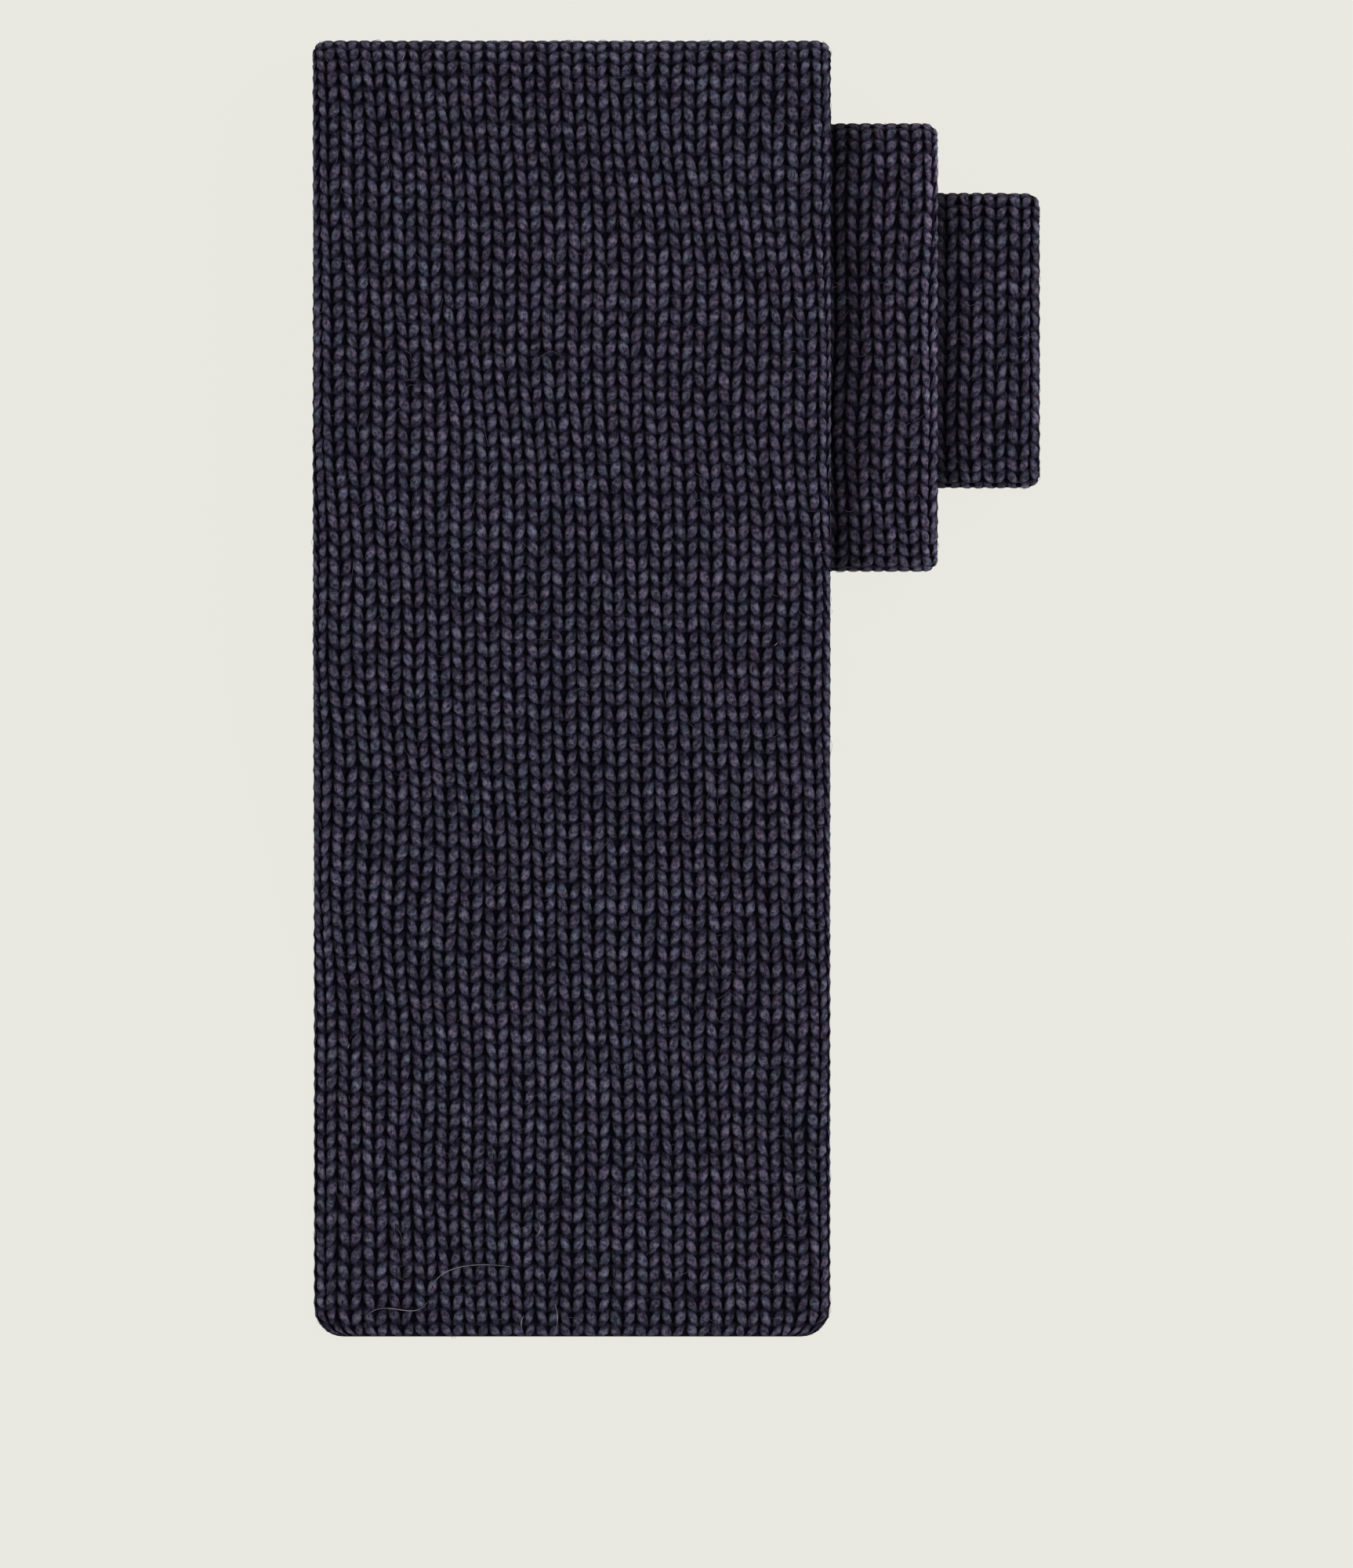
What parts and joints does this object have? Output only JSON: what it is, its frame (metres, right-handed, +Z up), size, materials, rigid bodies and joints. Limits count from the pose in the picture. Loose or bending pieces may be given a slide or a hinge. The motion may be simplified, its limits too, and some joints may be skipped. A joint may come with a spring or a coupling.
{
  "type": "knit tie",
  "caption": "Knitted necktie folded flat: a square-ended front blade lies over a loose flat roll of the neck and tail that steps out at one side",
  "frame": {"origin": "middle of the box's underside, on the surface that the folded tie lies on", "axes": "+Z up; +Y from the front blade's hem to its top fold; +X towards the side where the folded neck and tail show"},
  "size_m": [0.0842, 0.15, 0.0207],
  "materials": {
    "knit_wool": "matte melange wool yarn, plain knit"
  },
  "bodies": {
    "root": {"front_blade": "knit_wool", "neck_band": "knit_wool", "tail_end": "knit_wool"}
  },
  "joints": []
}
